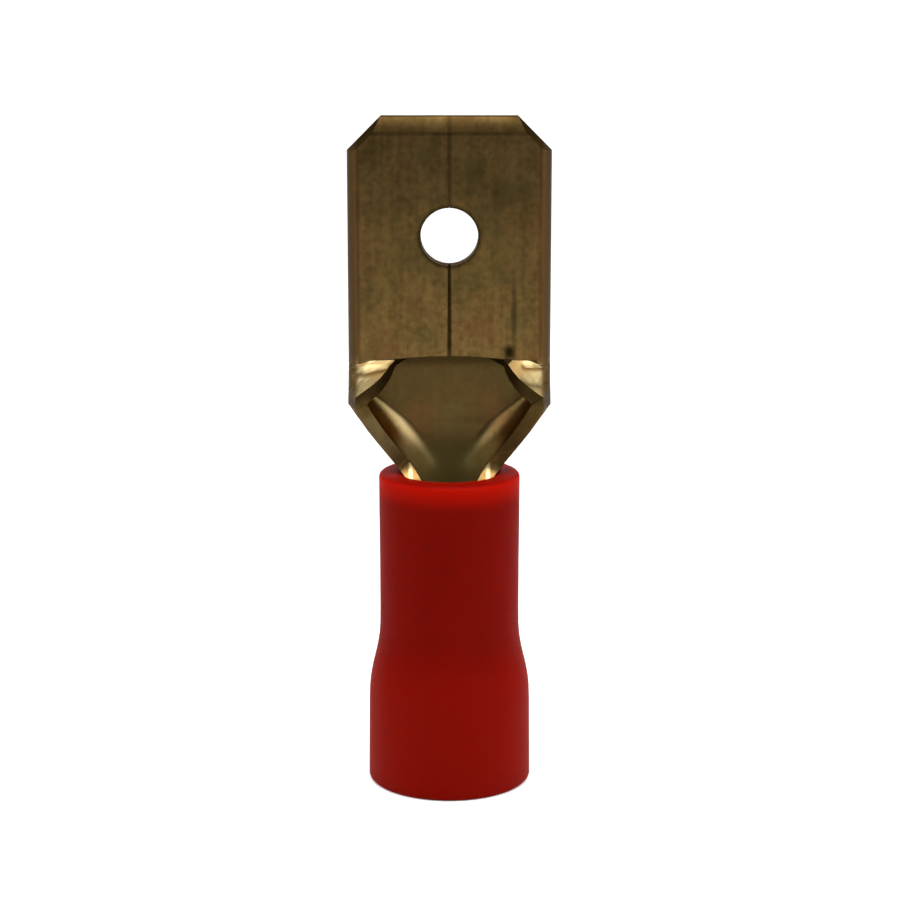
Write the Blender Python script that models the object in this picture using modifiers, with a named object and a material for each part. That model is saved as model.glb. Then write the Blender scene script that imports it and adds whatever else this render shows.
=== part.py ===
"""Male spade terminal: a folded brass tab with a rolled crimp barrel, in a moulded vinyl sleeve.

The terminal stands on the open end of its sleeve. The origin is the centre of that end, +Z runs up to
the tip of the tab, +X across the tab's width, and the tab's seam faces -Y.
"""

import math
from collections import namedtuple

import bmesh
import bpy
from mathutils import Vector

# Brass sheet
SHEET = 0.00039
FOLD_GAP = 0.00002

# Tab, folded double
TAB_WIDTH = 0.00635
TAB_LENGTH = 0.00744
TIP_SEAM = 0.00002
ROOT_SEAM = 0.00012
HOLE_DIAMETER = 0.0018
HOLE_FROM_TIP = 0.00371
CORNER_CHAMFER = 0.00106
LEAD_IN_LENGTH = 0.0005
LEAD_IN_DEPTH = 0.00021
CORNER_LEAD_IN = 0.00018

# Neck, an open trough between tab and barrel
WING_ARCH = 0.00006
WING_ARCH_ANGLE = 75.0
NOTCH_ROUND = 0.0006
FLANGE_LENGTH = 0.00155
SWING_LENGTH = 0.00095
SHOULDER_LENGTH = 0.00141
SHOULDER_BEND_RADIUS = 0.0008
TAPER_LENGTH = 0.0022
BEND_OPENING = 0.0008
NECK_ROUND = 0.0003
WALL_ANGLE = 105.0
WALL_LENGTH = 0.0009

# Crimp barrel
BARREL_BORE = 0.00202
BARREL_LENGTH = 0.00535
BARREL_SEAM = 0.00005
CLOSING_RISE = 0.0004
CLOSING_LENGTH = 0.0009
GROOVE_START = 0.0012
GROOVE_PITCH = 0.0011
GROOVE_WIDTH = 0.0004
GROOVE_DEPTH = 0.00006

# Vinyl sleeve
BARREL_CLEARANCE = 0.00005
SEAT_CLEARANCE = 0.00005
SLEEVE_WALL = 0.00075
SLEEVE_COVER = 0.00005
RIM_ROUND = 0.00022
MOUTH_ROUND = 0.00018
SKIRT_LENGTH = 0.003
SKIRT_WALL = 0.0006
SKIRT_DRAFT = 0.000035
FLARE_LENGTH = 0.002
ENTRY_DIAMETER = 0.0039
ENTRY_ROUND = 0.00012
FUNNEL_LENGTH = 0.0013
THROAT_CLEARANCE = 0.00005
THROAT_LENGTH = 0.00025

# Facets
FLAT_STEPS = 3
BEND_STEPS = 10
WALL_STEPS = 4
ARCH_STEPS = 5
SWING_STEPS = 6
TAPER_STEPS = 10
CLOSING_STEPS = 12
FLARE_STEPS = 8
ROUND_STEPS = 4
SLEEVE_STEPS = 52
HOLE_STEPS = 48

# Heights, which follow from the sizes above
THROAT_BASE = SKIRT_LENGTH + FUNNEL_LENGTH
SEAT = THROAT_BASE + THROAT_LENGTH
BARREL_BASE = SEAT + SEAT_CLEARANCE
BARREL_TOP = BARREL_BASE + BARREL_LENGTH
CLOSING_TOP = BARREL_TOP + CLOSING_RISE
CLOSING_END = CLOSING_TOP - CLOSING_LENGTH
SHOULDER = BARREL_TOP + TAPER_LENGTH
WING_END = SHOULDER + SHOULDER_LENGTH
SWING_TOP = WING_END - WING_ARCH - SHEET / 2
TAB_TIP = WING_END + TAB_LENGTH
SLEEVE_TOP = BARREL_TOP + SLEEVE_COVER

# Radii and planes that follow
FOLD_RADIUS = (SHEET + FOLD_GAP) / 2
BARREL_MID_RADIUS = (BARREL_BORE + SHEET) / 2
BARREL_RADIUS = BARREL_BORE / 2 + SHEET
TAB_BACK = BARREL_RADIUS
TAB_FRONT = TAB_BACK - 2 * SHEET - FOLD_GAP


def clear_scene():
    for thing in list(bpy.data.objects):
        bpy.data.objects.remove(thing, do_unlink=True)


def new_collection(name):
    collection = bpy.data.collections.new(name)
    bpy.context.scene.collection.children.link(collection)
    return collection


def new_material(name, colour, roughness, metallic):
    material = bpy.data.materials.new(name)
    material.use_nodes = True
    shader = material.node_tree.nodes["Principled BSDF"]
    shader.inputs["Base Color"].default_value = (*colour, 1.0)
    shader.inputs["Roughness"].default_value = roughness
    shader.inputs["Metallic"].default_value = metallic
    material.diffuse_color = (*colour, 1.0)
    return material


def object_from(shape, name, collection):
    mesh = bpy.data.meshes.new(name)
    shape.to_mesh(mesh)
    shape.free()
    thing = bpy.data.objects.new(name, mesh)
    collection.objects.link(thing)
    return thing


def blend(start, end, share):
    return start + (end - start) * share


def smooth_step(share):
    return share * share * (3 - 2 * share)


def steps_between(start, end, count):
    """Heights from start to end, without the start itself."""
    return [blend(start, end, step / count) for step in range(1, count + 1)]


# Brass terminal, one folded and rolled sheet
SheetState = namedtuple("SheetState", "z flat radius angle wall")


def bend_radius(z):
    """Mid-sheet radius of the bend at each side: tight in the fold, wide open in the barrel."""
    if z >= SHOULDER:
        share = min(max((SWING_TOP - z) / (SWING_TOP - SHOULDER), 0.0), 1.0)
        return blend(FOLD_RADIUS, SHOULDER_BEND_RADIUS, share)
    return blend(SHOULDER_BEND_RADIUS, BARREL_MID_RADIUS, min((SHOULDER - z) / BEND_OPENING, 1.0))


def wing_end_reach(z):
    """How far from the seam the wings are already cut away, by their arched ends."""
    if z >= WING_END:
        return 0.0
    rise = min((WING_END - z) / WING_ARCH, 1.0)
    turned = math.radians(WING_ARCH_ANGLE)
    depth = rise * (1 - math.cos(turned))
    return math.sqrt(depth * (2 - depth)) / math.sin(turned)


def flange_length(z):
    """Length of the flange under the wing's end, which a round corner narrows to the trough's wall."""
    fall = min((WING_END - WING_ARCH - z) / NOTCH_ROUND, 1.0)
    return blend(FLANGE_LENGTH, WALL_LENGTH, math.sqrt(1 - (1 - fall) ** 2))


def half_width(z):
    """From the middle to the mid-sheet at the sides: the barrel's, rounding into the neck's taper."""
    above = z - BARREL_TOP
    if abs(above) < NECK_ROUND:
        above = (above + NECK_ROUND) ** 2 / (4 * NECK_ROUND)
    share = min(max(above / TAPER_LENGTH, 0.0), 1.0)
    return blend(BARREL_MID_RADIUS, (TAB_WIDTH - SHEET) / 2, share)


def sheet_state(z):
    """Flat half-length, bend radius, bend angle and wall length of the sheet's mid-line at a height."""
    radius = bend_radius(z)
    flat = max(half_width(z) - radius, 0.0)
    upright = math.radians(WALL_ANGLE)
    if z >= WING_END - WING_ARCH:
        seam = blend(ROOT_SEAM, TIP_SEAM, max((z - WING_END) / TAB_LENGTH, 0.0))
        wing = blend(flat - seam / 2, FLANGE_LENGTH, wing_end_reach(z))
        return SheetState(z, flat, radius, math.pi, wing)
    if z >= SHOULDER:
        share = min(max((SWING_TOP - z) / SWING_LENGTH, 0.0), 1.0)
        return SheetState(z, flat, radius, blend(math.pi, upright, share), flange_length(z))
    wall = WALL_LENGTH * max((z - CLOSING_TOP) / (SHOULDER - CLOSING_TOP), 0.0) ** 2
    fall = min(max((CLOSING_TOP - z) / CLOSING_LENGTH, 0.0), 1.0)
    closed = math.pi - BARREL_SEAM / 2 / radius
    return SheetState(z, flat, radius, blend(upright, closed, 1 - math.sqrt(1 - fall ** 2)), wall)


def lengths_along(state):
    """Where the section's corners lie along the mid-line: fine in the bend, never bunched."""
    whole = state.flat + state.radius * state.angle + state.wall
    steps = FLAT_STEPS + BEND_STEPS + WALL_STEPS
    bend_start = max(state.flat, whole * FLAT_STEPS / steps)
    bend_end = min(whole - state.wall, whole * (1 - WALL_STEPS / steps))
    marks = [0.0]
    marks += steps_between(0.0, bend_start, FLAT_STEPS)
    marks += steps_between(bend_start, bend_end, BEND_STEPS)
    marks += steps_between(bend_end, whole, WALL_STEPS)
    return marks


def lean(upper, lower, turned, beyond):
    """Angle at which the sheet leans outward between two sections, at a place round the bend."""
    outward = (upper.flat - lower.flat) * math.sin(turned)
    outward += (upper.radius - lower.radius) * (1 - math.cos(turned))
    outward -= (upper.angle - lower.angle) * beyond
    return math.atan2(outward, upper.z - lower.z)


def sheet_point(state, upper, lower, along):
    """Point on the mid-line at a length from the middle of the back, and half a sheet outward of it."""
    turned = min(max((along - state.flat) / state.radius, 0.0), state.angle)
    beyond = max(along - state.flat - state.radius * state.angle, 0.0)
    sine, cosine = math.sin(turned), math.cos(turned)
    point = Vector((min(along, state.flat), BARREL_MID_RADIUS - state.radius, state.z))
    point += state.radius * Vector((sine, cosine, 0.0)) + beyond * Vector((cosine, -sine, 0.0))
    leans = [lean(upper, state, turned, beyond)] if upper else []
    leans += [lean(state, lower, turned, beyond)] if lower else []
    if beyond == 0.0:
        opened = min(state.radius / FOLD_RADIUS - 1, 1.0)
        leans = [angle * opened for angle in leans]
    middle = sum(leans) / len(leans)
    mitre = math.cos(leans[0] - middle)
    normal = Vector((sine * math.cos(middle), cosine * math.cos(middle), -math.sin(middle)))
    return point, normal * SHEET / 2 / mitre


def mirrored(points):
    return [Vector((-point.x, point.y, point.z)) for point in points]


def sheet_section(state, upper, lower, thinned):
    """Closed outline of the sheet: the outer side from left to right, then the inner side back."""
    outer = []
    inner = []
    for along in lengths_along(state):
        point, half_sheet = sheet_point(state, upper, lower, along)
        outer.append(point + half_sheet)
        inner.append(point - half_sheet * (1 - 2 * thinned / SHEET))
    return mirrored(outer[:0:-1]) + outer + inner[::-1] + mirrored(inner[1:])


def groove_stations():
    """Grip grooves inside the barrel: four heights each, with the depth cut from the inner side."""
    stations = []
    clear_top = CLOSING_END - GROOVE_WIDTH
    middle = BARREL_BASE + GROOVE_START
    while middle + GROOVE_WIDTH / 2 < clear_top:
        stations.append((middle + GROOVE_WIDTH / 2, 0.0))
        stations.append((middle + GROOVE_WIDTH / 4, GROOVE_DEPTH))
        stations.append((middle - GROOVE_WIDTH / 4, GROOVE_DEPTH))
        stations.append((middle - GROOVE_WIDTH / 2, 0.0))
        middle += GROOVE_PITCH
    return stations


def terminal_stations():
    """Heights of the sections, from the tip down, with how much each is thinned on its inner side."""
    turned = math.radians(WING_ARCH_ANGLE)
    heights = [TAB_TIP, WING_END]
    for step in range(1, ARCH_STEPS + 1):
        fall = (1 - math.cos(turned * step / ARCH_STEPS)) / (1 - math.cos(turned))
        heights.append(WING_END - WING_ARCH * fall)
    heights += [SWING_TOP]
    heights += steps_between(SWING_TOP, SWING_TOP - SWING_LENGTH, SWING_STEPS)
    heights += [SHOULDER]
    heights += steps_between(SHOULDER, CLOSING_TOP, TAPER_STEPS)
    for step in range(1, CLOSING_STEPS + 1):
        heights.append(CLOSING_TOP - CLOSING_LENGTH * math.sin(math.pi / 2 * step / CLOSING_STEPS))
    heights += [BARREL_BASE]
    stations = [(height, 0.0) for height in heights] + groove_stations()
    return sorted(stations, reverse=True)


def folded_sheet(collection):
    """Loft through the sections, closed at the tip and at the barrel's end."""
    shape = bmesh.new()
    stations = terminal_stations()
    states = [sheet_state(z) for z, thinned in stations]
    above = [None] + states[:-1]
    below = states[1:] + [None]
    rings = []
    for (z, thinned), state, upper, lower in zip(stations, states, above, below):
        outline = sheet_section(state, upper, lower, thinned)
        rings.append([shape.verts.new(point) for point in outline])
    count = len(rings[0])
    for upper_ring, lower_ring in zip(rings, rings[1:]):
        for index in range(count):
            after = (index + 1) % count
            corners = (upper_ring[index], lower_ring[index], lower_ring[after], upper_ring[after])
            shape.faces.new(corners)
    for ring in (rings[0], rings[-1]):
        for index in range(count // 2 - 1):
            opposite = count - 1 - index
            shape.faces.new((ring[index], ring[index + 1], ring[opposite - 1], ring[opposite]))
    bmesh.ops.recalc_face_normals(shape, faces=shape.faces)
    return object_from(shape, "terminal_body", collection)


def cut_away(body, cutter):
    cutter.hide_render = True
    cutter.display_type = "WIRE"
    cut = body.modifiers.new(cutter.name, "BOOLEAN")
    cut.operation = "DIFFERENCE"
    cut.solver = "EXACT"
    cut.object = cutter


def plane_cutter(name, point, outward, collection):
    """Block with one face through the point, which takes away all that lies outward of it."""
    side = 1.5 * TAB_WIDTH
    shape = bmesh.new()
    bmesh.ops.create_cube(shape, size=side)
    cutter = object_from(shape, name, collection)
    cutter.rotation_mode = "QUATERNION"
    cutter.rotation_quaternion = outward.to_track_quat("Z", "X")
    cutter.location = point + outward.normalized() * side / 2
    return cutter


def cut_tip(body, collection):
    """Corner chamfers, and the sloped lead-in along the tip and both chamfers, on front and back."""
    faces = {"front": (TAB_FRONT, -1), "back": (TAB_BACK, 1)}
    diagonal = math.sqrt(0.5)
    for side, corner in ((-1, "left"), (1, "right")):
        point = Vector((side * (TAB_WIDTH - CORNER_CHAMFER) / 2, 0.0, TAB_TIP - CORNER_CHAMFER / 2))
        outward = Vector((side * diagonal, 0.0, diagonal))
        cut_away(body, plane_cutter(f"{corner}_corner_cutter", point, outward, collection))
        for face, (plane, towards) in faces.items():
            start = point - outward * CORNER_LEAD_IN
            start.y = plane
            slope = outward * LEAD_IN_DEPTH + Vector((0.0, towards * CORNER_LEAD_IN, 0.0))
            cut_away(body, plane_cutter(f"{corner}_{face}_lead_in_cutter", start, slope, collection))
    for face, (plane, towards) in faces.items():
        start = Vector((0.0, plane, TAB_TIP - LEAD_IN_LENGTH))
        slope = Vector((0.0, towards * LEAD_IN_LENGTH, LEAD_IN_DEPTH))
        cut_away(body, plane_cutter(f"{face}_lead_in_cutter", start, slope, collection))


def cut_hole(body, collection):
    """Round detent hole through both layers."""
    shape = bmesh.new()
    radius = HOLE_DIAMETER / 2
    depth = 4 * (TAB_BACK - TAB_FRONT)
    bmesh.ops.create_cone(
        shape, cap_ends=True, segments=HOLE_STEPS, radius1=radius, radius2=radius, depth=depth
    )
    cutter = object_from(shape, "detent_hole_cutter", collection)
    cutter.rotation_euler.x = math.pi / 2
    cutter.location = (0.0, (TAB_FRONT + TAB_BACK) / 2, TAB_TIP - HOLE_FROM_TIP)
    cut_away(body, cutter)


def build_terminal(parts, cutters):
    body = folded_sheet(parts)
    body.data.materials.append(new_material("brass", (0.40, 0.27, 0.11), 0.32, 1.0))
    cut_tip(body, cutters)
    cut_hole(body, cutters)
    return body


# Vinyl sleeve, one turned moulding
def quarter_round(corner_x, corner_z, radius, start_angle):
    """Points of a quarter circle that turns clockwise from the start angle, about its centre."""
    points = []
    for step in range(ROUND_STEPS + 1):
        angle = math.radians(start_angle - 90.0 * step / ROUND_STEPS)
        points.append((corner_x + radius * math.cos(angle), corner_z + radius * math.sin(angle)))
    return points


def sleeve_profile():
    """Half section of the sleeve, down the outer side, across the end and up the bore."""
    bore = BARREL_RADIUS + BARREL_CLEARANCE
    outside = bore + SLEEVE_WALL
    entry = ENTRY_DIAMETER / 2
    skirt = entry + SKIRT_WALL
    foot = skirt + SKIRT_DRAFT
    throat = BARREL_BORE / 2 + THROAT_CLEARANCE
    flare_top = SKIRT_LENGTH + FLARE_LENGTH
    points = quarter_round(outside - RIM_ROUND, SLEEVE_TOP - RIM_ROUND, RIM_ROUND, 90.0)
    for step in range(FLARE_STEPS + 1):
        share = step / FLARE_STEPS
        radius = blend(outside, skirt, smooth_step(share))
        points.append((radius, blend(flare_top, SKIRT_LENGTH, share)))
    points += quarter_round(foot - ENTRY_ROUND, ENTRY_ROUND, ENTRY_ROUND, 0.0)
    points += quarter_round(entry + ENTRY_ROUND, ENTRY_ROUND, ENTRY_ROUND, -90.0)
    points += [(entry, SKIRT_LENGTH), (throat, THROAT_BASE), (throat, SEAT), (bore, SEAT)]
    points += quarter_round(bore + MOUTH_ROUND, SLEEVE_TOP - MOUTH_ROUND, MOUTH_ROUND, 180.0)
    return points


def build_sleeve(parts):
    mesh = bpy.data.meshes.new("insulator_sleeve")
    profile = [(x, 0.0, z) for x, z in sleeve_profile()]
    count = len(profile)
    edges = [(index, (index + 1) % count) for index in range(count)]
    mesh.from_pydata(profile, edges, [])
    sleeve = bpy.data.objects.new("insulator_sleeve", mesh)
    parts.objects.link(sleeve)
    turn = sleeve.modifiers.new("turned", "SCREW")
    turn.angle = 2 * math.pi
    turn.steps = SLEEVE_STEPS
    turn.render_steps = SLEEVE_STEPS
    turn.use_merge_vertices = True
    turn.merge_threshold = 0.000001
    turn.use_smooth_shade = True
    mesh.materials.append(new_material("red_vinyl", (0.42, 0.008, 0.003), 0.42, 0.0))
    return sleeve


clear_scene()
terminal_parts = new_collection("male_spade_terminal")
terminal_cutters = new_collection("cutters")
build_terminal(terminal_parts, terminal_cutters)
build_sleeve(terminal_parts)
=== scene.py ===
"""A male spade terminal: a folded brass blade on a crimp barrel, in a moulded red vinyl sleeve.

It stands on the open end of its sleeve, on white paper under soft lamps. Units are metres.
"""

import math

import bmesh
import bpy
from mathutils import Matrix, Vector


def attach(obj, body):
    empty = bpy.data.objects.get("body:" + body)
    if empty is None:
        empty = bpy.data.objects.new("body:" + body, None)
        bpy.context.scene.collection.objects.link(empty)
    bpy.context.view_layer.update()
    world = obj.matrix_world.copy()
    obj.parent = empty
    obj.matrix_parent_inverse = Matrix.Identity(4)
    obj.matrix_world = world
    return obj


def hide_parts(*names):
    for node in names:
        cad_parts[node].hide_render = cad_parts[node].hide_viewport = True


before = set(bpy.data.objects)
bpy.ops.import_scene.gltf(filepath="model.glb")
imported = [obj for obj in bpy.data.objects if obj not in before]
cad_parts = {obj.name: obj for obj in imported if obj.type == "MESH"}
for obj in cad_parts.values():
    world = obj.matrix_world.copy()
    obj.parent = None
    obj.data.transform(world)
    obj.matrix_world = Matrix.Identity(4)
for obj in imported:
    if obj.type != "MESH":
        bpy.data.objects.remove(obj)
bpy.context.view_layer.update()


# Insulator sleeve.
# The real one is a short tube of soft PVC, moulded in one piece and pushed over the crimp barrel. Its
# skirt widens to take the wire's insulation, and its rims are rounded where the mould parts.

MM = 0.001
SLEEVE_TOP = 10.0
SLEEVE_SIDES = 96
TOP_RADIUS = 2.21
ENTRY_RADIUS = 1.95
FOOT_RADIUS = 2.58
THROAT_RADIUS = 1.06
BORE_RADIUS = 1.45
MERGE_REACH = 0.001
RING_REACH = 0.01

# Radius and height of each ring, down the outside, across the end and up the bore.
sleeve_rings = [
    (TOP_RADIUS, SLEEVE_TOP),
    (2.205, 8.6),
    (2.195, 7.2),
    (2.195, 5.6),
    (2.202, 5.05),
    (2.225, 4.75),
    (2.262, 4.5),
    (2.312, 4.25),
    (2.372, 4.0),
    (2.432, 3.75),
    (2.482, 3.5),
    (2.52, 3.25),
    (2.542, 3.0),
    (2.555, 2.6),
    (2.565, 1.6),
    (FOOT_RADIUS, 0.0),
    (ENTRY_RADIUS, 0.0),
    (ENTRY_RADIUS, 3.0),
    (THROAT_RADIUS, 4.3),
    (THROAT_RADIUS, 4.55),
    (BORE_RADIUS, 4.55),
    (BORE_RADIUS, SLEEVE_TOP),
]
# Corner rings and how far each is rounded.
sleeve_rounds = [
    ((TOP_RADIUS, SLEEVE_TOP), 0.16),
    ((BORE_RADIUS, SLEEVE_TOP), 0.2),
    ((FOOT_RADIUS, 0.0), 0.14),
    ((ENTRY_RADIUS, 0.0), 0.12),
]


def linear(hex_colour):
    """The linear RGBA of an sRGB hex colour."""
    channels = [int(hex_colour[place:place + 2], 16) / 255 for place in (1, 3, 5)]
    return [c / 12.92 if c <= 0.04045 else ((c + 0.055) / 1.055) ** 2.4 for c in channels] + [1.0]


def add_node(material, kind, inputs, **settings):
    """One node with its settings. Each input is set to a value, or linked where a socket is given."""
    node = material.node_tree.nodes.new(kind)
    for name, value in settings.items():
        setattr(node, name, value)
    for name, value in inputs.items():
        if isinstance(value, bpy.types.NodeSocket):
            material.node_tree.links.new(value, node.inputs[name])
        else:
            node.inputs[name].default_value = value
    return node


bpy.ops.object.select_all(action="DESELECT")
first_radius, first_height = sleeve_rings[0]
bpy.ops.mesh.primitive_circle_add(
    vertices=SLEEVE_SIDES, radius=first_radius * MM, location=(0, 0, 0), fill_type="NOTHING"
)
sleeve = bpy.context.object
sleeve.name = "vinyl_sleeve"
bpy.ops.object.mode_set(mode="EDIT")
bpy.ops.mesh.select_all(action="SELECT")
bpy.ops.transform.translate(value=(0, 0, first_height * MM))
next_rings = sleeve_rings[1:] + sleeve_rings[:1]
for (radius, height), (next_radius, next_height) in zip(sleeve_rings, next_rings):
    bpy.ops.mesh.extrude_region_move(
        TRANSFORM_OT_translate={"value": (0, 0, (next_height - height) * MM)}
    )
    grow = next_radius / radius
    bpy.ops.transform.resize(value=(grow, grow, 1), center_override=(0, 0, next_height * MM))
bpy.ops.mesh.select_all(action="SELECT")
bpy.ops.mesh.remove_doubles(threshold=MERGE_REACH * MM)
bpy.ops.mesh.normals_make_consistent(inside=False)
bpy.ops.mesh.select_mode(type="EDGE")
for (radius, height), size in sleeve_rounds:
    bpy.ops.mesh.select_all(action="DESELECT")
    shell = bmesh.from_edit_mesh(sleeve.data)
    for edge in shell.edges:
        edge.select = all(
            abs(vert.co.xy.length - radius * MM) < RING_REACH * MM
            and abs(vert.co.z - height * MM) < RING_REACH * MM
            for vert in edge.verts
        )
    bmesh.update_edit_mesh(sleeve.data)
    bpy.ops.mesh.bevel(offset=size * MM, segments=6, affect="EDGES")
bpy.ops.object.mode_set(mode="OBJECT")
bpy.ops.object.shade_smooth_by_angle(angle=math.radians(35))

# Moulded soft PVC, dyed through: satin, even, with faint flow marks and the fine grain of the mould.
# Light goes a little way into it. Its rim is also painted a lighter red, a painted glow for the light
# that enters it from three sides, and its skirt is painted lighter as painted light for its thinner
# wall. Its skin scatters more than it mirrors.
RIM_GLOW_START = 9.1
RIM_GLOW_FULL = 9.7
RIM_GLOW_LAST = 9.88
RIM_GLOW_END = 9.98
SKIRT_GLOW_START = 5.0
SKIRT_GLOW_FULL = 3.2

vinyl = bpy.data.materials.new("moulded_red_vinyl")
vinyl.use_nodes = True
vinyl_shader = vinyl.node_tree.nodes["Principled BSDF"]
place = add_node(vinyl, "ShaderNodeTexCoord", {})
in_mm = add_node(
    vinyl, "ShaderNodeMapping", {"Vector": place.outputs["Object"], "Scale": (1 / MM, 1 / MM, 1 / MM)}
)
flow_place = add_node(vinyl, "ShaderNodeMapping", {"Vector": in_mm.outputs[0], "Scale": (1, 1, 0.35)})
flow = add_node(
    vinyl, "ShaderNodeTexNoise", {"Vector": flow_place.outputs[0], "Scale": 0.9, "Detail": 3}
)
dye = add_node(
    vinyl,
    "ShaderNodeMix",
    {0: flow.outputs["Fac"], 6: linear("#6C0400"), 7: linear("#770700")},
    data_type="RGBA",
)
height = add_node(vinyl, "ShaderNodeSeparateXYZ", {0: in_mm.outputs[0]}).outputs["Z"]
# The top of the sleeve is painted a lighter red here: a painted glow for light entering the rim.
rim_glow_rise = add_node(
    vinyl,
    "ShaderNodeMapRange",
    {"Value": height, "From Min": RIM_GLOW_START, "From Max": RIM_GLOW_FULL},
    interpolation_type="SMOOTHSTEP",
)
rim_glow_fall = add_node(
    vinyl,
    "ShaderNodeMapRange",
    {"Value": height, "From Min": RIM_GLOW_END, "From Max": RIM_GLOW_LAST, "To Max": 0.9},
    interpolation_type="SMOOTHSTEP",
)
painted_rim_glow_share = add_node(
    vinyl, "ShaderNodeMath", {0: rim_glow_rise.outputs[0], 1: rim_glow_fall.outputs[0]}, operation="MULTIPLY"
)
dye_with_painted_rim_glow = add_node(
    vinyl,
    "ShaderNodeMix",
    {0: painted_rim_glow_share.outputs[0], 6: dye.outputs[2], 7: linear("#980B00")},
    data_type="RGBA",
)
# The skirt is painted a lighter red towards the foot: painted light.
skirt_glow_share = add_node(
    vinyl,
    "ShaderNodeMapRange",
    {"Value": height, "From Min": SKIRT_GLOW_START, "From Max": SKIRT_GLOW_FULL, "To Max": 0.5},
    interpolation_type="SMOOTHSTEP",
)
dye_with_painted_light = add_node(
    vinyl,
    "ShaderNodeMix",
    {0: skirt_glow_share.outputs[0], 6: dye_with_painted_rim_glow.outputs[2], 7: linear("#860A00")},
    data_type="RGBA",
)
grain = add_node(vinyl, "ShaderNodeTexNoise", {"Vector": in_mm.outputs[0], "Scale": 14, "Detail": 4})
waves = add_node(
    vinyl, "ShaderNodeTexNoise", {"Vector": flow_place.outputs[0], "Scale": 1.6, "Detail": 1}
)
satin = add_node(
    vinyl,
    "ShaderNodeMapRange",
    {"Value": grain.outputs["Fac"], "From Min": 0.3, "From Max": 0.7, "To Min": 0.5, "To Max": 0.64},
)
slow_bump = add_node(
    vinyl, "ShaderNodeBump", {"Height": waves.outputs["Fac"], "Strength": 0.5, "Distance": 0.03 * MM}
)
fine_bump = add_node(
    vinyl,
    "ShaderNodeBump",
    {
        "Height": grain.outputs["Fac"],
        "Strength": 0.35,
        "Distance": 0.006 * MM,
        "Normal": slow_bump.outputs[0],
    },
)
vinyl.node_tree.links.new(dye_with_painted_light.outputs[2], vinyl_shader.inputs["Base Color"])
vinyl.node_tree.links.new(satin.outputs[0], vinyl_shader.inputs["Roughness"])
vinyl.node_tree.links.new(fine_bump.outputs[0], vinyl_shader.inputs["Normal"])
vinyl_shader.inputs["IOR"].default_value = 1.45
vinyl_shader.inputs["Specular IOR Level"].default_value = 0.04
vinyl_shader.inputs["Subsurface Weight"].default_value = 1.0
vinyl_shader.inputs["Subsurface Radius"].default_value = (1.0, 0.12, 0.05)
vinyl_shader.inputs["Subsurface Scale"].default_value = 2.0 * MM
sleeve.data.materials.append(vinyl)
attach(sleeve, "root")
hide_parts("insulator_sleeve")


# Terminal body.
# The real one is a single strip of brass, stamped, folded double into the blade, left open as a trough
# at the neck and rolled into a barrel below. The presses leave crumpled shoulders where the folds end.

TAB_TIP = 21.0
TAB_MIDDLE = 1.0
TIP_ROUND = 0.06
CORNER_START = 19.4
SEAM_TIGHT = 18.0
SEAM_REACH = 0.05
SEAM_LEFT = 0.15
SHOULDER_LOW = 12.3
SHOULDER_HIGH = 13.52
SHOULDER_INNER = 1.2
SHOULDER_SLOPE = 0.2
WALL_FOOT = 10.3
MOUTH_LOW = 9.4
SHARP_ANGLE = 0.9
SOFT_ANGLE = 0.6
DEEP_CREASE = 0.05

# Each crease: its two ends as width and height, how wide it is, and how deep.
creases = [
    ((-3.0, 13.02), (-1.9, 13.28), 0.16, 0.07),
    ((3.05, 13.22), (2.35, 13.28), 0.15, 0.07),
    ((2.3, 12.9), (2.9, 12.7), 0.15, 0.05),
]


def on_shoulder(point, normal):
    """Whether a point, in millimetres, lies on one of the two bent flanges, which face upwards."""
    between = SHOULDER_LOW < point.z < SHOULDER_HIGH
    return between and abs(point.x) > SHOULDER_INNER and normal.z > SHOULDER_SLOPE


terminal = bpy.data.objects.new("folded_brass_terminal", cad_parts["terminal_body"].data.copy())
bpy.context.collection.objects.link(terminal)
bpy.ops.object.select_all(action="DESELECT")
terminal.select_set(True)
bpy.context.view_layer.objects.active = terminal
bpy.ops.object.mode_set(mode="EDIT")
bpy.ops.mesh.select_all(action="SELECT")
bpy.ops.mesh.customdata_custom_splitnormals_clear()
bpy.ops.mesh.remove_doubles(threshold=MERGE_REACH * MM)

# The sheet's cut edges and the ground lead-ins are dark and rough. The bent flanges are marked pale, as
# rubbed metal and as a painted highlight, and so are the edges at the mouth, as a painted highlight
# only.
strip = bmesh.from_edit_mesh(terminal.data)
sheared = strip.faces.layers.float.new("sheared")
rubbed_and_highlit = strip.faces.layers.float.new("rubbed_and_highlit")
strip.normal_update()
for face in strip.faces:
    centre = face.calc_center_median() / MM
    across_edge = all(
        any(edge.is_manifold and edge.calc_face_angle() > SHARP_ANGLE for edge in vert.link_edges)
        for vert in face.verts
    )
    if centre.z > CORNER_START and abs(face.normal.x) > 0.3:
        face[sheared] = 1.0
    elif centre.z > CORNER_START and abs(face.normal.y) < 0.98:
        face[sheared] = 0.5
    elif across_edge and WALL_FOOT < centre.z < SHOULDER_HIGH:
        face[sheared] = 1.0
    elif across_edge and MOUTH_LOW < centre.z < WALL_FOOT:
        face[rubbed_and_highlit] = 1.0
    elif on_shoulder(centre, face.normal):
        face[rubbed_and_highlit] = 1.0

# The seam is pressed tight above the hole.
for vert in strip.verts:
    if vert.co.z > SEAM_TIGHT * MM and abs(vert.co.x) < SEAM_REACH * MM:
        vert.co.x *= SEAM_LEFT

# Flat faces of the tab become whole, so that rounding its tip leaves no slivers.
bpy.ops.mesh.select_mode(type="FACE")
bpy.ops.mesh.select_all(action="DESELECT")
for face in strip.faces:
    face.select = face.calc_center_median().z > CORNER_START * MM
bmesh.update_edit_mesh(terminal.data)
bpy.ops.mesh.dissolve_limited(angle_limit=math.radians(0.5))

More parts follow.
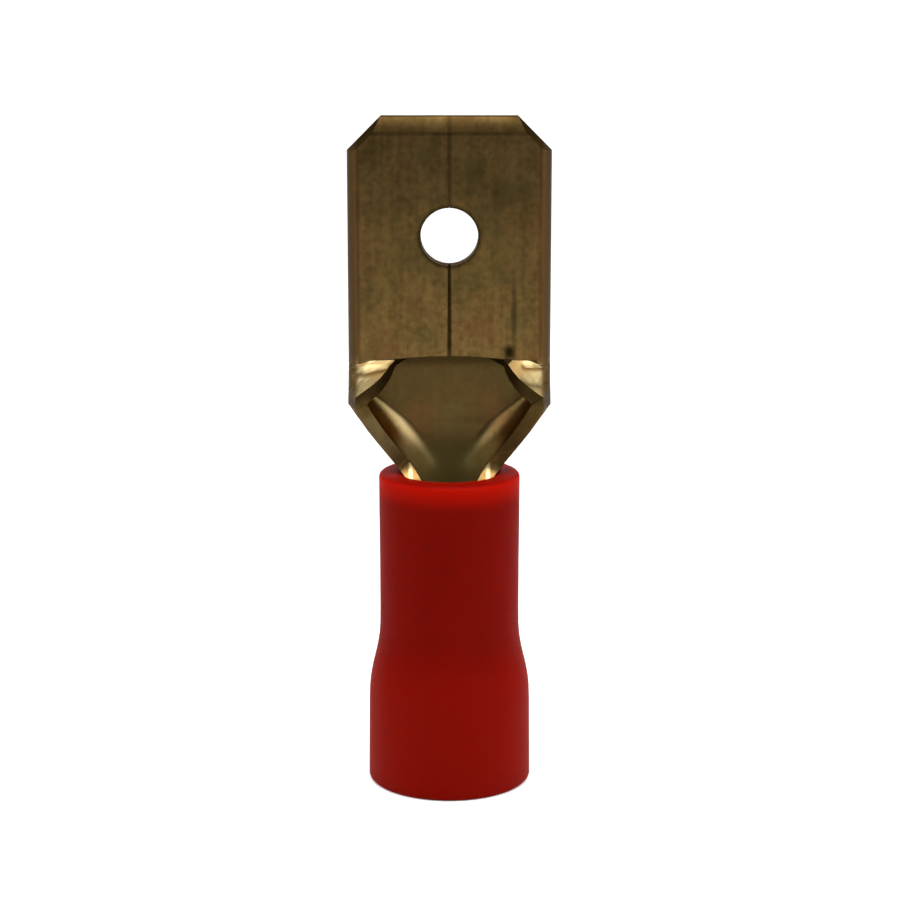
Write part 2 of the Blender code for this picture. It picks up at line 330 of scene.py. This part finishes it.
# The tip's two long edges are rounded by tumbling.
bpy.ops.mesh.select_mode(type="EDGE")
bpy.ops.mesh.select_all(action="DESELECT")
strip = bmesh.from_edit_mesh(terminal.data)
for edge in strip.edges:
    at_tip = all(vert.co.z > (TAB_TIP - 0.005) * MM for vert in edge.verts)
    middle = sum(vert.co.y for vert in edge.verts) / 2
    outside = abs(middle - TAB_MIDDLE * MM) > 0.1 * MM
    edge.select = at_tip and outside and edge.calc_length() > 0.3 * MM
bmesh.update_edit_mesh(terminal.data)
bpy.ops.mesh.bevel(offset=TIP_ROUND * MM, segments=4, affect="EDGES")

# The shoulders, where the folded flanges swing open, are crumpled by the press.
bpy.ops.mesh.select_mode(type="FACE")
for _ in range(2):
    bpy.ops.mesh.select_all(action="DESELECT")
    strip = bmesh.from_edit_mesh(terminal.data)
    strip.normal_update()
    for face in strip.faces:
        face.select = on_shoulder(face.calc_center_median() / MM, face.normal)
    bmesh.update_edit_mesh(terminal.data)
    bpy.ops.mesh.subdivide(number_cuts=1)
strip = bmesh.from_edit_mesh(terminal.data)
creased = strip.verts.layers.float.new("creased")
strip.normal_update()
pressed = []
for vert in strip.verts:
    spot = vert.co / MM
    within = all(edge.is_manifold and edge.calc_face_angle() < SOFT_ANGLE for edge in vert.link_edges)
    if not (within and on_shoulder(spot, vert.normal)):
        continue
    depth = 0.0
    for (x1, z1), (x2, z2), width, push in creases:
        along = Vector((x2 - x1, z2 - z1))
        offset = Vector((spot.x - x1, spot.z - z1))
        share = min(max(offset.dot(along) / along.length_squared, 0), 1)
        away = (offset - along * share).length
        depth += push * max(1 - away / width, 0) ** 1.5
    vert[creased] = min(depth / DEEP_CREASE, 1)
    pressed.append((vert, vert.normal * depth * MM))
for vert, shift in pressed:
    vert.co -= shift
bmesh.update_edit_mesh(terminal.data)
bpy.ops.object.mode_set(mode="OBJECT")
bpy.ops.object.shade_smooth_by_angle(angle=math.radians(32))
even_shade = terminal.modifiers.new("even_shade", "WEIGHTED_NORMAL")
even_shade.keep_sharp = True
bpy.ops.object.modifier_apply(modifier="even_shade")

# Rolled brass, dulled by handling: brown and greenish in blotches, with faint lines from the rolls along
# the strip. It is dark where it was sheared. Painted shade darkens the trough, under the wings, the tab
# towards its tip, its folds and sides, the inner walls, the foot of the lead-in, the detent hole, the
# flange edges and the creases, and painted highlights brighten the bends of the trough, the bent flanges
# and the edges at the mouth.
brass = bpy.data.materials.new("dull_rolled_brass")
brass.use_nodes = True
brass_shader = brass.node_tree.nodes["Principled BSDF"]
place = add_node(brass, "ShaderNodeTexCoord", {})
in_mm = add_node(
    brass, "ShaderNodeMapping", {"Vector": place.outputs["Object"], "Scale": (1 / MM, 1 / MM, 1 / MM)}
)
patches = add_node(brass, "ShaderNodeTexNoise", {"Vector": in_mm.outputs[0], "Scale": 0.8, "Detail": 5})
metal = add_node(
    brass,
    "ShaderNodeMix",
    {0: patches.outputs["Fac"], 6: linear("#80653C"), 7: linear("#AA884E")},
    data_type="RGBA",
)
stipple = add_node(brass, "ShaderNodeTexNoise", {"Vector": in_mm.outputs[0], "Scale": 5.5, "Detail": 4})
roll_place = add_node(brass, "ShaderNodeMapping", {"Vector": in_mm.outputs[0], "Scale": (1, 1, 0.06)})
roll_lines = add_node(
    brass, "ShaderNodeTexNoise", {"Vector": roll_place.outputs[0], "Scale": 6, "Detail": 4}
)
mottle = add_node(
    brass,
    "ShaderNodeMix",
    {0: 0.38, 2: stipple.outputs["Fac"], 3: roll_lines.outputs["Fac"]},
    data_type="FLOAT",
)
shade = add_node(
    brass,
    "ShaderNodeMapRange",
    {"Value": mottle.outputs[0], "From Min": 0.37, "From Max": 0.63, "To Min": 0.72, "To Max": 1.18},
)
mottled = add_node(
    brass, "ShaderNodeVectorMath", {0: metal.outputs[2], "Scale": shade.outputs[0]}, operation="SCALE"
)
blotch_place = add_node(brass, "ShaderNodeMapping", {"Vector": in_mm.outputs[0], "Location": (7, 3, 2)})
blotches = add_node(
    brass, "ShaderNodeTexNoise", {"Vector": blotch_place.outputs[0], "Scale": 0.75, "Detail": 3}
)

# What the films go by, in millimetres: where a point is, and how much its surface faces outwards.
spot = add_node(brass, "ShaderNodeSeparateXYZ", {0: in_mm.outputs[0]})
across = add_node(brass, "ShaderNodeMath", {0: spot.outputs["X"]}, operation="ABSOLUTE")
facing = add_node(brass, "ShaderNodeSeparateXYZ", {0: place.outputs["Normal"]})
outward = add_node(
    brass, "ShaderNodeMath", {0: spot.outputs["X"], 1: facing.outputs["X"]}, operation="MULTIPLY"
)
measures = {
    "aside": spot.outputs["X"],
    "across": across.outputs[0],
    "depth": spot.outputs["Y"],
    "height": spot.outputs["Z"],
    "outward": outward.outputs[0],
    "patches": patches.outputs["Fac"],
    "blotches": blotches.outputs["Fac"],
}

# Each mark on the tab: how far aside and how high it is, and how far the height counts in the distance
# from it, so that a small share makes the mark long.
marks = {
    "from_hole": (0, 17.29, 1),
    "from_stain": (1.88, 13.675, 0.8),
    "from_streak": (2.02, 15.0, 0.08),
}
for name, (aside, rise, share) in marks.items():
    centred = add_node(
        brass,
        "ShaderNodeMapping",
        {"Vector": in_mm.outputs[0], "Location": (-aside, 0, -rise * share), "Scale": (1, 0, share)},
    )
    distance = add_node(brass, "ShaderNodeVectorMath", {0: centred.outputs[0]}, operation="LENGTH")
    measures[name] = distance.outputs["Value"]

# Each place: the measures that bound it, with the value where it starts and the one where it is full.
places = {
    "trough_floor": [("depth", 0.75, 1.0), ("depth", 1.3, 1.12), ("height", 13.62, 13.3)],
    "red_blotch": [("blotches", 0.48, 0.68)],
    "green_blotch": [("blotches", 0.47, 0.33)],
    "tab_top_shade": [("height", 17.0, 20.6)],
    "fold": [("across", 2.72, 2.86), ("height", 13.3, 13.6)],
    "side": [("across", 2.84, 2.98), ("height", 11.8, 12.1)],
    "shadow_under_wings": [("depth", 0.75, 1.0), ("depth", 1.3, 1.12), ("height", 13.05, 13.45)],
    "bend_face": [("outward", -0.05, -0.35), ("outward", -1.2, -0.7), ("aside", 2.4, -1.6)],
    "bend_height": [("height", 10.3, 10.9), ("height", 12.3, 11.5)],
    "inner_wall": [("outward", -0.9, -1.4), ("height", 12.7, 12.2), ("height", 10.0, 10.6)],
    "outer_wall": [("outward", 0.8, 1.9), ("height", 12.7, 12.2), ("height", 9.0, 9.4)],
    "seam": [("across", 0.11, 0.02), ("height", 13.3, 13.6), ("depth", 0.95, 0.75)],
    "lead_in_foot_shade": [("height", 20.38, 20.44), ("height", 20.54, 20.5)],
    "stain": [("from_stain", 0.3, 0.04), ("depth", 0.95, 0.75)],
    "streak": [("from_streak", 0.14, 0.02), ("depth", 0.95, 0.75)],
    "hole_shade": [("from_hole", 1.06, 0.9)],
    "above_neck": [("height", 12.0, 12.5)],
    "dull_patch": [("patches", 0.62, 0.36)],
    "mouth": [("depth", -0.2, 0.5), ("depth", 1.3, 1.12), ("height", 11.2, 10.3)],
    "flange": [("across", 2.95, 2.8), ("height", 11.0, 12.0)],
    "mouth_edge": [("across", 1.12, 1.18), ("across", 1.3, 1.23), ("height", 10.75, 10.4)],
}
masks = {}
for name, limits in places.items():
    masks[name] = 1.0
    for measure, start, full in limits:
        step = add_node(
            brass,
            "ShaderNodeMapRange",
            {"Value": measures[measure], "From Min": start, "From Max": full},
            interpolation_type="SMOOTHSTEP",
        )
        within = add_node(
            brass, "ShaderNodeMath", {0: masks[name], 1: step.outputs[0]}, operation="MULTIPLY"
        )
        masks[name] = within.outputs[0]
for name in ("sheared", "rubbed_and_highlit", "creased"):
    masks[name] = add_node(brass, "ShaderNodeAttribute", {}, attribute_name=name).outputs["Fac"]
outer_cut = add_node(brass, "ShaderNodeMath", {0: masks["outer_wall"], 1: 0.8}, operation="MULTIPLY")
cut = add_node(
    brass, "ShaderNodeMath", {0: masks["sheared"], 1: outer_cut.outputs[0]}, operation="MAXIMUM"
)
masks["cut"] = cut.outputs[0]

# Each film, laid over the ones before it: the places where it is, how much it covers, and its colour.
# Some are tarnish and wear, and the ones marked below are painted shade and painted highlights. The
# rubbed ones are clean metal, paler as wear and as a painted highlight.
films = {
    # Painted shade inside the trough.
    "trough_shade": (["trough_floor"], 0.8, "#5E4C2A"),
    "red_blotches": (["red_blotch"], 0.42, "#865C38"),
    "green_blotches": (["green_blotch"], 0.4, "#6A6238"),
    # Painted shade: the tab is darker towards its tip.
    "tab_top_shade": (["tab_top_shade"], 0.3, "#54492A"),
    # Painted shade on the rounded side folds of the tab.
    "fold_shade": (["fold"], 0.85, "#6E4C2C"),
    # Painted shade on the outermost sides, which are also made not metallic.
    "sides": (["side"], 0.75, "#3E3018"),
    # Painted shadow under the lower ends of the wings.
    "shadow_under_wings": (["shadow_under_wings"], 0.75, "#3A2C14"),
    # Painted highlight: pale streaks along the bends of the trough.
    "bend_highlights": (["bend_face", "bend_height"], 0.42, "#DCC692"),
    # Painted shade on the inner walls of the trough.
    "inner_wall_shade": (["inner_wall"], 0.6, "#5A3A1C"),
    "seam": (["seam"], 0.5, "#3A2C14"),
    # Painted shade: a dark line at the foot of the lead-in.
    "lead_in_foot_shade": (["lead_in_foot_shade"], 0.45, "#3A2C14"),
    "stain": (["stain"], 0.95, "#241A0A"),
    "streak": (["streak"], 0.5, "#2E2210"),
    # Painted shade around the detent hole and down its wall.
    "hole_shade": (["hole_shade"], 0.8, "#32260F"),
    "cuts": (["cut"], 0.65, "#463719"),
    # Painted shade on the flanges' cut edges above the neck.
    "flange_edge_shade": (["cut", "above_neck"], 0.7, "#2A1F0C"),
    "cut_patches": (["cut", "dull_patch"], 0.5, "#2A1C0C"),
    # The mouth is olive and not metallic.
    "mouth": (["mouth"], 0.85, "#4E4623"),
    # Pale metal on the bent flanges: rubbed wear and a painted highlight.
    "rubbed_and_highlit_flanges": (["rubbed_and_highlit", "flange"], 0.9, "#DEC892"),
    # Painted highlight on the edges at the mouth.
    "mouth_highlights": (["rubbed_and_highlit", "mouth_edge"], 0.9, "#DEC892"),
    # Painted shade in the creases of the crumpled shoulders.
    "creases": (["creased"], 0.6, "#5A431F"),
}
covers = {}
colour = mottled.outputs[0]
for name, (covered, amount, tint) in films.items():
    covers[name] = amount
    for mask in covered:
        cover = add_node(
            brass, "ShaderNodeMath", {0: covers[name], 1: masks[mask]}, operation="MULTIPLY"
        )
        covers[name] = cover.outputs[0]
    film = add_node(
        brass, "ShaderNodeMix", {0: covers[name], 6: colour, 7: linear(tint)}, data_type="RGBA"
    )
    colour = film.outputs[2]

# The sides, under their painted shade, and the mouth are not metallic, and worked metal is rougher than
# rolled metal.
not_metal = add_node(brass, "ShaderNodeMath", {0: covers["mouth"], 1: covers["sides"]}, operation="MAXIMUM")
metal_share = add_node(brass, "ShaderNodeMath", {0: 1.0, 1: not_metal.outputs[0]}, operation="SUBTRACT")
dull = add_node(
    brass,
    "ShaderNodeMapRange",
    {"Value": patches.outputs["Fac"], "From Min": 0.3, "From Max": 0.7, "To Min": 0.38, "To Max": 0.28},
)
roughness = dull.outputs[0]
for name, extra in (("cuts", 0.46), ("rubbed_and_highlit_flanges", 0.156), ("bend_highlights", 0.2)):
    rougher = add_node(
        brass, "ShaderNodeMath", {0: covers[name], 1: extra, 2: roughness}, operation="MULTIPLY_ADD"
    )
    roughness = rougher.outputs[0]
roll_bump = add_node(
    brass,
    "ShaderNodeBump",
    {"Height": roll_lines.outputs["Fac"], "Strength": 0.25, "Distance": 0.004 * MM},
)
brass.node_tree.links.new(colour, brass_shader.inputs["Base Color"])
brass.node_tree.links.new(roughness, brass_shader.inputs["Roughness"])
brass.node_tree.links.new(roll_bump.outputs[0], brass_shader.inputs["Normal"])
brass.node_tree.links.new(metal_share.outputs[0], brass_shader.inputs["Metallic"])
brass_shader.inputs["Specular Tint"].default_value = linear("#A89C84")
terminal.data.materials.clear()
terminal.data.materials.append(brass)
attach(terminal, "root")
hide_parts("terminal_body")


# White paper.
# A sheet of paper lies under the terminal and rises behind it, so that no edge shows.

PAPER_WIDTH = 400
PAPER_FRONT = -60
PAPER_BACK = 170
PAPER_HEIGHT = 300
PAPER_BEND = 60
PAPER_LIFT = 0.3

bpy.ops.object.select_all(action="DESELECT")
bpy.ops.mesh.primitive_plane_add(size=1, location=(0, 0, 0))
paper = bpy.context.object
paper.name = "paper"
bpy.ops.object.mode_set(mode="EDIT")
bpy.ops.transform.resize(value=(PAPER_WIDTH * MM, (PAPER_BACK - PAPER_FRONT) * MM, 1))
bpy.ops.transform.translate(value=(0, (PAPER_BACK + PAPER_FRONT) / 2 * MM, 0))
bpy.ops.mesh.select_mode(type="EDGE")
bpy.ops.mesh.select_all(action="DESELECT")
sheet = bmesh.from_edit_mesh(paper.data)
for edge in sheet.edges:
    edge.select = all(vert.co.y > (PAPER_BACK - 1) * MM for vert in edge.verts)
bmesh.update_edit_mesh(paper.data)
bpy.ops.mesh.extrude_region_move(TRANSFORM_OT_translate={"value": (0, 0, PAPER_HEIGHT * MM)})
bpy.ops.mesh.select_all(action="DESELECT")
sheet = bmesh.from_edit_mesh(paper.data)
for edge in sheet.edges:
    edge.select = all(vert.co.y > (PAPER_BACK - 1) * MM and vert.co.z < MM for vert in edge.verts)
bmesh.update_edit_mesh(paper.data)
bpy.ops.mesh.bevel(offset=PAPER_BEND * MM, segments=16, affect="EDGES")
bpy.ops.object.mode_set(mode="OBJECT")
bpy.ops.object.shade_smooth()

# Matt white paper, which shows as white to the camera and keeps the terminal's soft shadow.
white = bpy.data.materials.new("white_paper")
white.use_nodes = True
white_shader = white.node_tree.nodes["Principled BSDF"]
white_shader.inputs["Base Color"].default_value = linear("#F2F2F2")
white_shader.inputs["Roughness"].default_value = 0.9
ray = add_node(white, "ShaderNodeLightPath", {})
seen = add_node(
    white,
    "ShaderNodeMath",
    {0: ray.outputs["Is Camera Ray"], 1: ray.outputs["Is Transmission Ray"]},
    operation="MAXIMUM",
)
lift = add_node(white, "ShaderNodeMath", {0: seen.outputs[0], 1: PAPER_LIFT}, operation="MULTIPLY")
white_shader.inputs["Emission Color"].default_value = (1, 1, 1, 1)
white.node_tree.links.new(lift.outputs[0], white_shader.inputs["Emission Strength"])
paper.data.materials.append(white)


# Lamps and room.
# One large soft lamp hangs overhead and a second one behind it. Weak ones stand at both sides, and two
# small cards light the bends of the trough. The room in front is dim, and shows as white to the camera.

ROOM_GLOW = 0.058

# Each lamp: where it stands, what it is aimed at, its width and height, and its power in watts.
lamps = {
    "overhead_lamp": ((0, -51, 122), (0, 0, 10), (150, 118), 0.205),
    "rear_lamp": ((0, 120, 125), (0, 0, 12), (170, 90), 0.12),
    "right_lamp": ((100, -10, 95), (0, 0, 12), (90, 90), 0.03),
    "left_lamp": ((-100, -10, 95), (0, 0, 12), (90, 90), 0.024),
    "right_card": ((58, -46, 38), (0, 0, 11), (40, 30), 0.014),
    "left_card": ((-58, -46, 38), (0, 0, 11), (40, 30), 0.007),
}
for name, (stand, target, size, power) in lamps.items():
    lamp = bpy.data.lights.new(name, "AREA")
    lamp.shape = "RECTANGLE"
    lamp.size = size[0] * MM
    lamp.size_y = size[1] * MM
    lamp.energy = power
    holder = bpy.data.objects.new(name, lamp)
    holder.location = Vector(stand) * MM
    holder.rotation_euler = (Vector(target) - Vector(stand)).to_track_quat("-Z", "Y").to_euler()
    bpy.context.collection.objects.link(holder)

room = bpy.data.worlds.new("room")
room.use_nodes = True
bpy.context.scene.world = room
dim = room.node_tree.nodes["Background"]
dim.inputs["Color"].default_value = (1, 1, 1, 1)
room_ray = add_node(room, "ShaderNodeLightPath", {})
room_seen = add_node(
    room,
    "ShaderNodeMath",
    {0: room_ray.outputs["Is Camera Ray"], 1: room_ray.outputs["Is Transmission Ray"]},
    operation="MAXIMUM",
)
room_strength = add_node(
    room,
    "ShaderNodeMapRange",
    {"Value": room_seen.outputs[0], "To Min": ROOM_GLOW, "To Max": 1.0},
)
room.node_tree.links.new(room_strength.outputs[0], dim.inputs["Strength"])


# Camera.
# It stands where the photograph was taken from, a little above the terminal and tilted down to it.

CAMERA_SPOT = (0.02, -67.12, 24.86)
CAMERA_TILT = 11.93

camera_data = bpy.data.cameras.new("camera")
camera_data.lens = 87.6
camera_data.sensor_width = 36
camera_data.clip_start = MM
camera_data.clip_end = 2.0
camera = bpy.data.objects.new("camera", camera_data)
camera.location = Vector(CAMERA_SPOT) * MM
camera.rotation_euler = (math.radians(90 - CAMERA_TILT), 0, 0)
bpy.context.collection.objects.link(camera)
bpy.context.scene.camera = camera
bpy.context.scene.view_settings.view_transform = "Standard"
